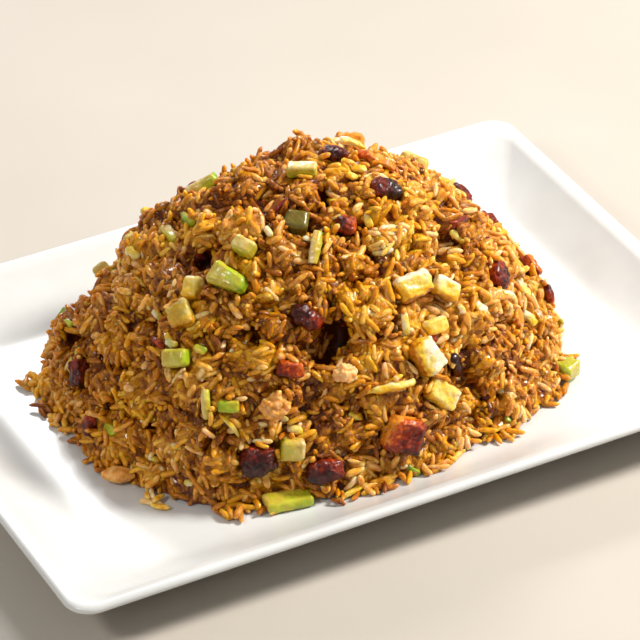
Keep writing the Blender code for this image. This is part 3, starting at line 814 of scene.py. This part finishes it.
def dress_topping(node, frame_node, materials, draw, number):
    kind = node.split("_")[0]
    heading, steepness, offset, tone = topping_look(node, kind, draw)
    mesh = remeshed(frame_node.data, TOPPING_VOXEL, TOPPING_SMOOTHING[kind])
    points = roughen(points_of(mesh), normals_of(mesh), kind, number)
    material = materials[kind]
    if node in CRUMBLY:
        tone, rise = CRUMBLY[node]
        crumbs, _ = cells(points, CRUMB_SIZE, number)
        crumbs += lumps(points, 1.8 * MM, number + 60)
        points += normals_of(mesh) * ((crumbs - 0.6) * rise * MM)[:, None]
        add_attributes(mesh, hue=np.full(len(points), CRUMB_HUE))
        material = cooked_rice()
    set_points(mesh, points)
    # the coloured side: partly the piece's own colour, partly painted light and shade by how the side faces
    # the light
    accent = accent_along(points, normals_of(mesh), heading, steepness, offset)
    add_attributes(mesh, accent=accent, tone=np.full(len(points), tone))
    piece = add_object(node + "_look", mesh, material)
    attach(piece, "root")
    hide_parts(node)
    return piece


# Small bits among the grains, by kind: pixels at both ends, width in mm, flatness, accent, tone

BITS = tuple((kind, *row) for kind, *rows in (
    ("pork",
     ((450, 357), (454, 375), 4.4, 0.8, 0.0, 0.25),
     ((196, 256), (208, 259), 3.6, 0.8, 0.0, 0.30),
     ((144, 212), (152, 222), 3.2, 0.7, 0.2, 0.55),
     ((221, 173), (237, 167), 3.6, 0.7, 0.2, 0.58),
     ((425, 334), (437, 338), 4.0, 0.7, 0.1, 0.52),
     ((480, 396), (492, 392), 3.4, 0.7, 0.1, 0.50),
     ((449, 224), (465, 218), 4.0, 0.7, 0.1, 0.48),
     ((153, 338), (163, 344), 3.6, 0.7, 0.2, 0.50),
     ((512, 307), (517, 329), 4.8, 0.7, 0.4, 0.72)),
    ("green",
     ((194, 347), (206, 353), 3.2, 0.6, 0.42, 0.5),
     ((106, 427), (116, 433), 3.6, 0.7, 0.52, 0.5),
     ((66, 321), (72, 327), 2.2, 0.7, 0.46, 0.5),
     ((525, 284), (536, 289), 4.2, 0.7, 0.36, 0.5),
     ((241, 154), (249, 174), 4.6, 0.8, 0.50, 0.5),
     ((186, 214), (196, 222), 4.0, 0.7, 0.66, 0.5),
     ((505, 420), (517, 427), 2.8, 0.5, 0.80, 0.5),
     ((406, 465), (418, 473), 2.8, 0.5, 0.80, 0.5),
     ((81, 348), (66, 373), 1.7, 0.7, 0.24, 0.5),
     ((163, 231), (175, 242), 4.2, 0.7, 0.28, 0.5)),
    ("onion",
     ((129, 250), (141, 256), 4.0, 0.7, 0.25, 0.5),
     ((167, 341), (179, 344), 3.6, 0.7, 0.22, 0.5),
     ((345, 174), (355, 177), 3.8, 0.8, 0.50, 0.5),
     ((352, 170), (364, 172), 4.2, 0.8, 0.42, 0.5),
     ((348, 415), (360, 420), 4.4, 0.8, 0.52, 0.5),
     ((370, 199), (376, 200), 2.6, 1.0, 0.50, 0.5),
     ((370, 251), (392, 247), 3.2, 0.8, 0.05, 0.5),
     ((403, 310), (407, 335), 3.0, 0.8, 0.12, 0.5),
     ((184, 482), (196, 486), 3.2, 0.6, 0.28, 0.42),
     ((148, 457), (160, 461), 3.2, 0.6, 0.24, 0.42),
     ((171, 444), (183, 449), 3.0, 0.6, 0.24, 0.42),
     ((182, 464), (194, 468), 3.0, 0.6, 0.26, 0.42),
     ((277, 414), (289, 419), 3.2, 0.6, 0.26, 0.42),
     ((286, 427), (303, 433), 3.2, 0.6, 0.20, 0.5),
     ((337, 501), (367, 484), 2.2, 0.7, 0.40, 0.5),
     ((368, 484), (394, 476), 4.2, 0.6, 0.85, 0.5),
     ((219, 416), (239, 438), 1.9, 0.7, 0.36, 0.5),
     ((74, 311), (93, 334), 1.9, 0.7, 0.34, 0.5)),
    ("green",
     ((320, 146), (352, 147), 4.6, 0.5, 0.05, 0.5),
     ((205, 184), (220, 181), 3.6, 0.6, 0.45, 0.5)),
    ("onion",
     ((190, 186), (201, 187), 4.6, 0.7, 0.05, 0.5),
     ((262, 158), (271, 155), 4.6, 0.7, 0.15, 0.5),
     ((266, 228), (272, 237), 2.8, 0.7, 0.10, 0.44),
     ((302, 239), (312, 242), 2.8, 0.7, 0.10, 0.44),
     ((325, 199), (348, 204), 4.6, 0.6, 0.62, 0.5),
     ((366, 212), (372, 227), 4.2, 0.7, 0.34, 0.5),
     ((448, 231), (468, 243), 3.4, 0.7, 0.28, 0.5),
     ((441, 266), (449, 267), 2.6, 0.8, 0.02, 0.5),
     ((458, 303), (464, 313), 3.2, 0.8, 0.22, 0.5),
     ((473, 305), (483, 312), 5.2, 0.8, 0.16, 0.5),
     ((502, 294), (514, 307), 3.2, 0.7, 0.14, 0.5),
     ((517, 281), (527, 298), 3.8, 0.7, 0.08, 0.5),
     ((522, 314), (533, 324), 4.8, 0.8, 0.22, 0.5),
     ((154, 311), (162, 319), 3.8, 0.7, 0.14, 0.5),
     ((168, 333), (173, 347), 2.8, 0.7, 0.32, 0.5),
     ((82, 291), (89, 304), 5.0, 0.6, 0.62, 0.5)),
) for row in rows)
BIT_LONGEST = 20 * MM  # ends further apart than this lie on two sides of the heap
UNSEEN_BITS = 34
UNSEEN_TRIES = 2000
UNSEEN_HALF = (2.0, 4.5)  # mm, half the length of an unseen one
BIT_SQUARENESS = {"pork": 4.5, "green": 4.5, "onion": 2.6}
BIT_SLENDER = 2.0  # shortest onion bit, in widths
BIT_DENTS = 0.20
BIT_RISE = 0.15  # how far a bit stands out, as a share of its width
BIT_LIFT = 0.5 * MM  # and how much further


def bit_points(kind, shape, start, end, normal, width, flatness, number):
    """A small cut piece between two places, bent over the slope, with soft dents."""
    along = end - start
    length = max(np.linalg.norm(along), 2.4 * MM)
    along = unit(along)
    outward = unit(normal - along * (normal @ along))
    across = np.cross(outward, along)
    power = BIT_SQUARENESS[kind]
    if kind == "onion" and length < width * BIT_SLENDER:
        width *= 0.75
        length = width * BIT_SLENDER
    local = shape / (np.abs(shape) ** power).sum(axis=1, keepdims=True) ** (1 / power)
    slender = length / width
    bend = 0.09 * length * (1 - local[:, 0] ** 2) * (1 if slender > 2.5 else 0.3)
    points = ((start + end) / 2 + local[:, :1] * along * length / 2
              + local[:, 1:2] * across * width / 2
              + (local[:, 2] * width * flatness / 2 + bend)[:, None] * outward)
    dents = lumps(points, 2.4 * MM, number + 90) * min(width, length) * BIT_DENTS
    return points + unit_rows(points - points.mean(axis=0)) * dents[:, None]


def ball_shape(steps):
    bm = bmesh.new()
    bmesh.ops.create_icosphere(bm, subdivisions=steps, radius=1)
    points = np.array([vert.co for vert in bm.verts])
    faces = np.array([[vert.index for vert in face.verts] for face in bm.faces])
    bm.free()
    return points, faces


def seen_bits(trees):
    rows = []
    for kind, first, last, width, flatness, accent, tone in BITS:
        hits = [cast(trees, first), cast(trees, last)]
        if None in hits or np.linalg.norm(hits[0][0] - hits[1][0]) > BIT_LONGEST:
            continue
        normal = unit(hits[0][1] + hits[1][1])
        rise = normal * (width * MM * BIT_RISE + BIT_LIFT)
        rows.append((kind, hits[0][0] + rise, hits[1][0] + rise, normal, width * MM, flatness, accent, tone))
    return rows


def unseen_bits(surface, draw):
    """Bits like the visible ones on the side turned away."""
    rows = []
    place, normal, _ = spread_over(surface, UNSEEN_TRIES, draw)
    away = [i for i in range(UNSEEN_TRIES) if normal[i] @ np.array(TOWARDS) < -0.25
            and normal[i][2] > -0.1 and place[i][2] > WELL_HEIGHT + 6 * MM]
    for i in away[:UNSEEN_BITS]:
        kind, _, _, width, flatness, accent, tone = BITS[draw.integers(len(BITS))]
        reach = draw.uniform(*UNSEEN_HALF) * MM
        along = unit(np.cross(normal[i], draw.normal(size=3))) * reach
        middle = place[i] + normal[i] * (width * MM * BIT_RISE + BIT_LIFT)
        rows.append((kind, middle - along, middle + along, normal[i], width * MM, flatness, accent, tone))
    return rows


def make_bits(trees, surface, materials, draw):
    shape, faces = ball_shape(3)
    rows = seen_bits(trees) + unseen_bits(surface, draw)
    solids = []
    for kind in materials:
        points, accents, tones = [], [], []
        for number, (own, start, end, normal, width, flatness, accent, tone) in enumerate(rows):
            if own != kind:
                continue
            made = bit_points(kind, shape, start, end, normal, width, flatness, number)
            points.append(made)
            facing = unit_rows(made - made.mean(axis=0))
            accents.append(accent_along(made, facing, draw.uniform(0, 360), 0.5, accent))
            tones.append(np.full(len(made), tone))
        triangles = copied_faces(faces, len(shape), len(points))
        mesh = mesh_from_arrays(kind + "_bits", np.concatenate(points), triangles)
        add_attributes(mesh, accent=np.concatenate(accents), tone=np.concatenate(tones))
        piece = add_object(kind + "_bits", mesh, materials[kind])
        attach(piece, "root")
        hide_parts("rice")
        solids += points
    return solids


# Grains

class Packing:
    """Balls that are taken, kept in a grid of cells so that near ones are found quickly."""

    def __init__(self, cell, room):
        self.cell = cell
        self.cells = {}
        self.points = np.empty((room, 3))
        self.radii = np.empty(room)
        self.count = 0

    def add(self, points, radius):
        for point in points:
            self.points[self.count] = point
            self.radii[self.count] = radius
            key = tuple(np.floor(point / self.cell).astype(int))
            self.cells.setdefault(key, []).append(self.count)
            self.count += 1

    def near(self, low, high):
        first = np.floor(low / self.cell).astype(int)
        last = np.floor(high / self.cell).astype(int)
        keys = itertools.product(*(range(low, high + 1) for low, high in zip(first, last)))
        return [ball for key in keys for ball in self.cells.get(key, ())]

    def free_lift(self, balls, radius, direction, low, high):
        """The smallest lift along the direction, from low up, that brings the balls clear of all others."""
        both = np.concatenate([balls + direction * low, balls + direction * high])
        margin = radius + BALL_REACH
        near = self.near(both.min(axis=0) - margin, both.max(axis=0) + margin)
        if not near:
            return low
        apart = balls[:, None] - self.points[near]
        along = apart @ direction
        reach = GRAIN_SQUEEZE * (radius + self.radii[near])
        inside = along ** 2 - (apart ** 2).sum(axis=-1) + reach ** 2
        hit = inside > 0
        root = np.sqrt(inside[hit])
        start, stop = -along[hit] - root, -along[hit] + root
        ahead = stop > low
        start, stop = start[ahead], stop[ahead]
        if not len(start):
            return low
        order = np.argsort(start)
        start, stop = start[order], np.maximum.accumulate(stop[order])
        before = np.concatenate([[low], np.maximum(stop, low)])
        gap = np.concatenate([start, [np.inf]]) > before
        return before[np.argmax(gap)]


def spread_over(mesh, count, draw):
    """Random places on a mesh, even by area: points, smooth normals and a vertex near each."""
    points, normals, triangles = points_of(mesh), normals_of(mesh), triangles_of(mesh)
    corners = points[triangles]
    area = np.linalg.norm(np.cross(corners[:, 1] - corners[:, 0], corners[:, 2] - corners[:, 0]), axis=1)
    chosen = draw.choice(len(triangles), count, p=area / area.sum())
    first, second = draw.uniform(size=(2, count, 1))
    root = np.sqrt(first)
    weights = (1 - root, root * (1 - second), root * second)
    place = sum(w * corners[chosen, i] for i, w in enumerate(weights))
    normal = sum(w * normals[triangles[chosen, i]] for i, w in enumerate(weights))
    return place, unit_rows(normal), triangles[chosen, 0]


def grain_balls(place, normal, heading, tilt, size):
    """The balls that stand for one grain, and its axis."""
    helper = np.array((0.0, 0.0, 1.0)) if abs(normal[2]) < 0.9 else np.array((1.0, 0.0, 0.0))
    side = unit(np.cross(helper, normal))
    flat = side * math.cos(heading) + np.cross(normal, side) * math.sin(heading)
    axis = flat * math.cos(tilt) + normal * math.sin(tilt)
    reach = (size[0] - size[1]) / 2 * np.linspace(-1, 1, GRAIN_BALLS)
    return place + reach[:, None] * axis, axis


def lay_grain(packing, place, normal, ways, size, low, high):
    """Settles one grain at a place, the way that lets it lie lowest. None where there's no room."""
    radius = size[1] / 2
    best = None
    for heading, tilt in ways:
        balls, axis = grain_balls(place, normal, heading, tilt, size)
        lift = packing.free_lift(balls, radius, normal, low, high)
        if lift <= high and (best is None or lift < best[0]):
            best = (lift, balls, axis)
        if lift <= low:
            break
    if best is None:
        return None
    lift, balls, axis = best
    balls = balls + normal * lift
    sunk = (platter_top(balls) + radius * 0.92 - balls[:, 2]).max()
    if sunk > 1.5 * MM:
        return None
    if sunk > 0:
        balls[:, 2] += sunk
    packing.add(balls, radius)
    return balls.mean(axis=0), axis, unit(normal - axis * (axis @ normal)), lift


def grain_size(draw):
    length = draw.uniform(*GRAIN_LENGTH)
    if draw.uniform() < BROKEN_SHARE:
        length *= draw.uniform(0.5, 0.8)
    return length * MM, draw.uniform(*GRAIN_WIDTH) * MM


def settle_grains(surface, ground, packing, draw):
    """Grains over the heap, laid one on another from the core outwards. Returns a table of frames."""
    place, normal, vertex = spread_over(surface, GRAIN_TRIES, draw)
    near = {name: values[vertex] for name, values in ground.items()}
    rows = []
    for i in range(GRAIN_TRIES):
        size = grain_size(draw)
        stray = draw.uniform() < STRAY_SHARE
        if normal[i][2] < -0.45 or place[i][2] < WELL_HEIGHT + 0.8 * MM:
            continue
        if near["hollow"][i] > HOLLOW_BARE and not stray:
            continue
        high = STRAY_HIGHEST if stray else draw.uniform(*GRAIN_HIGHEST)
        tilt = STRAY_TILT if stray else GRAIN_TILT
        ways = [(near["heading"][i] + draw.normal() * 0.75, draw.normal() * tilt)
                for _ in range(GRAIN_HEADINGS)]
        found = lay_grain(packing, place[i], normal[i], ways, size, -GRAIN_DEPTH + 0.9 * MM, high * MM)
        if found:
            # painted light and shade: higher grains lighter, grains deep in creases and hollows darker,
            # partly also for soy pooled there
            shade = near["tone"][i] + found[3] / GRAIN_DEPTH * 0.14 - near["depth"][i] * 0.20
            rows.append((*found[:3], size, shade, near["hue"][i]))
        if len(rows) >= GRAIN_LIMIT:
            break
    return rows


def settle_foot(surface, packing, draw):
    """Loose grains, singly and in small clusters, that lie on the platter round the heap's foot."""
    points = points_of(surface)
    low = points[points[:, 2] < WELL_HEIGHT + 5 * MM]
    around = np.degrees(np.arctan2(low[:, 1], low[:, 0])) % 360
    far = np.hypot(low[:, 0], low[:, 1])
    reach = [far[np.abs((around - angle + 180) % 360 - 180) < FOOT_SECTOR].max() for angle in range(360)]
    rows = []
    up = np.array((0.0, 0.0, 1.0))
    for _ in range(FOOT_CLUSTERS):
        angle = draw.uniform(0, 360)
        out = reach[int(angle)] + (abs(draw.normal()) * 1.8 - 0.8) * MM
        shade = draw.normal() * 0.12
        for _ in range(draw.integers(*FOOT_CLUSTER)):
            turn = math.radians(angle) + draw.normal() * 2.2 * MM / out
            away = out + draw.normal() * 1.4 * MM
            place = np.array((away * math.cos(turn), away * math.sin(turn), 0.0))
            place[2] = platter_top(place)
            size = grain_size(draw)
            ways = [(draw.uniform(0, math.tau), draw.normal() * 0.08) for _ in range(GRAIN_HEADINGS)]
            found = lay_grain(packing, place, up, ways, size, size[1] * 0.46, FOOT_HIGHEST)
            if found:
                rows.append((*found[:3], size, shade, 0.0))
    return rows


def settle_on_toppings(toppings, surface, packing, draw):
    """Some grains stuck on and against each topping, low down where the rice is near."""
    rows = []
    tree = tree_of(surface)
    for piece in toppings:
        place, normal, _ = spread_over(piece.data, STUCK_TRIES[1], draw)
        outward = unit(place.mean(axis=0) - HEAP_MIDDLE)
        for i in range(draw.integers(*STUCK_TRIES)):
            if normal[i][2] < -0.1 or normal[i] @ outward > STUCK_FACING:
                continue
            if tree.find_nearest(place[i])[3] > STUCK_REACH:
                continue
            size = grain_size(draw)
            ways = [(draw.uniform(0, math.tau), draw.normal() * 0.12)]
            found = lay_grain(packing, place[i], normal[i], ways, size, 0.5 * MM, 2.0 * MM)
            if found:
                rows.append((*found[:3], size, draw.normal() * 0.1, 0.0))
    return rows


def grain_shape():
    """Rings of one grain along X, from -1 to 1, with its girth and the place of each vertex along it."""
    rings = []
    for i in range(GRAIN_RINGS):
        at = math.sin((2 * (i + 0.5) / GRAIN_RINGS - 1) * math.pi / 2)
        girth = (1 - abs(at) ** 4.2) ** 0.5 * (1 - 0.12 * at)
        for k in range(GRAIN_SIDES):
            turn = math.tau * (k + (i % 2) * 0.5) / GRAIN_SIDES
            rings.append((at, girth * math.cos(turn), girth * math.sin(turn) * 0.86))
    first = len(rings)
    rings += [(-1.0, 0.0, 0.0), (1.0, 0.0, 0.0)]
    faces = []
    for i in range(GRAIN_RINGS - 1):
        for k in range(GRAIN_SIDES):
            a, b = i * GRAIN_SIDES + k, i * GRAIN_SIDES + (k + 1) % GRAIN_SIDES
            c, d = a + GRAIN_SIDES, b + GRAIN_SIDES
            if i % 2:
                faces += [(a, b, d), (a, d, c)]
            else:
                faces += [(a, b, c), (b, d, c)]
    last = (GRAIN_RINGS - 1) * GRAIN_SIDES
    for k in range(GRAIN_SIDES):
        faces.append((first, (k + 1) % GRAIN_SIDES, k))
        faces.append((first + 1, last + k, last + (k + 1) % GRAIN_SIDES))
    return np.array(rings), np.array(faces)


def grains_mesh(name, rows, tone, hue, draw):
    """All the given grains as one mesh, each bent in its own way and with a tone and hue of its own."""
    shape, faces = grain_shape()
    count = len(rows)
    centre, axis, up, size, tones, hues = (np.array(values) for values in zip(*rows))
    tones += draw.uniform(*tone, count)
    hues += draw.uniform(*hue, count)
    across = np.cross(up, axis)
    spin = draw.uniform(0, math.tau, count)[:, None]
    up, across = up * np.cos(spin) + across * np.sin(spin), across * np.cos(spin) - up * np.sin(spin)
    flip = np.where(draw.uniform(size=count) < 0.5, -1.0, 1.0)[:, None]
    at = shape[None, :, 0] * flip
    bend = draw.uniform(0.2, 1.2, count)[:, None] * 0.08 * size[:, :1]
    along = at * size[:, :1] / 2
    wide = shape[None, :, 1] * size[:, 1:] / 2 * draw.uniform(0.92, 1.08, (count, 1))
    high = shape[None, :, 2] * flip * size[:, 1:] / 2 + bend * (0.4 - at ** 2)
    points = (centre[:, None] + along[..., None] * axis[:, None] + wide[..., None] * across[:, None]
              + high[..., None] * up[:, None])
    mesh = mesh_from_arrays(name, points.reshape(-1, 3), copied_faces(faces, len(shape), count))
    add_attributes(mesh, tone=np.repeat(tones, len(shape)), hue=np.repeat(hues, len(shape)),
                   along=np.tile(np.abs(shape[:, 0]) ** 2, count))
    return mesh


KINDS = (
    # name, share of the grains, ranges of tone and of hue
    ("rice_grains_amber", 0.25, (0.36, 0.52), (-0.8, 0.0)),
    ("rice_grains_honey", 0.24, (0.42, 0.60), (-0.8, 0.1)),
    ("rice_grains_golden", 0.21, (0.48, 0.70), (-0.8, 0.0)),
    ("rice_grains_brown", 0.15, (0.22, 0.44), (-0.6, 0.2)),
    ("rice_grains_pale", 0.15, (0.50, 0.82), (0.0, 0.8)),
)


def make_grains(rows, material, draw):
    kinds = draw.choice(len(KINDS), len(rows), p=[kind[1] for kind in KINDS])
    for number, (name, _, tone, hue) in enumerate(KINDS):
        chosen = [row for row, kind in zip(rows, kinds) if kind == number]
        piece = add_object(name, grains_mesh(name, chosen, tone, hue, draw), material)
        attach(piece, "root")
        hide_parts("rice")


# Stage

def make_stage():
    bpy.ops.mesh.primitive_plane_add(size=6, location=(0, 0, 0))
    floor = bpy.context.object
    floor.name = "floor"
    floor.data.materials.append(floor_paint())


def add_light(name, place, size, power, colour, aim=(0.0, 0.0, 0.03)):
    data = bpy.data.lights.new(name, "AREA")
    data.shape = "DISK"
    data.size = size
    data.energy = power
    data.color = colour
    light = new_object(name, data)
    light.location = place
    light.rotation_euler = (Vector(aim) - light.location).to_track_quat("-Z", "Y").to_euler()


def make_lights():
    high = Vector((0, 0, 1))
    add_light("key", RIGHT * 0.85 + BACK * 0.15 + high * 0.85, 0.32, 22.0, (1.0, 0.96, 0.90))
    add_light("fill", RIGHT * -0.8 - BACK * 0.8 + high * 1.1, 0.24, 6.5, (1.0, 0.96, 0.91))
    add_light("rim", RIGHT * -0.25 + BACK * 1.1 + high * 0.9, 0.28, 8.5, (1.0, 0.985, 0.965))
    world = bpy.data.worlds.new("studio")
    world.use_nodes = True
    background = world.node_tree.nodes["Background"]
    background.inputs["Color"].default_value = (1.0, 0.985, 0.96, 1)
    background.inputs["Strength"].default_value = 0.32
    bpy.context.scene.world = world


def make_camera():
    data = bpy.data.cameras.new("camera")
    data.lens = LENS
    data.sensor_width = SENSOR
    data.clip_start = 0.05
    data.clip_end = 20
    camera = new_object("camera", data)
    camera.matrix_world = Matrix.Translation(CAMERA_AT) @ Matrix((RIGHT, UP, TOWARDS)).transposed().to_4x4()
    bpy.context.scene.camera = camera


def main():
    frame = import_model()
    draw = np.random.default_rng(SEED)
    make_camera()
    make_stage()
    make_lights()
    bpy.context.scene.view_settings.view_transform = "Standard"
    platter = make_platter()

    materials = {"pork": roast_pork(), "green": green_vegetable(), "onion": cooked_onion()}
    names = sorted(name for name in frame["nodes"] if name.split("_")[0] in materials)
    toppings = [dress_topping(node, frame["nodes"][node], materials, draw, number)
                for number, node in enumerate(names)]
    surface, ground = clumped_surface(frame["nodes"]["rice"], toppings)
    packing = Packing(PACKING_CELL, PACKING_ROOM)
    count, radius = TOPPING_BALLS
    for piece in toppings:
        packing.add(spread_over(piece.data, count, draw)[0], radius)
    count, radius = BIT_BALLS
    for points in make_bits([tree_of(surface), tree_of(platter.data)], surface, materials, draw):
        packing.add(points[draw.choice(len(points), count)], radius)
    rows = settle_on_toppings(toppings, surface, packing, draw)
    first = packing.count
    rows += settle_grains(surface, ground, packing, draw)
    core = make_core(surface, ground, packing, first)
    rows += settle_foot(surface, packing, draw)
    make_grains(standing_out(rows, core), cooked_rice(), draw)


main()
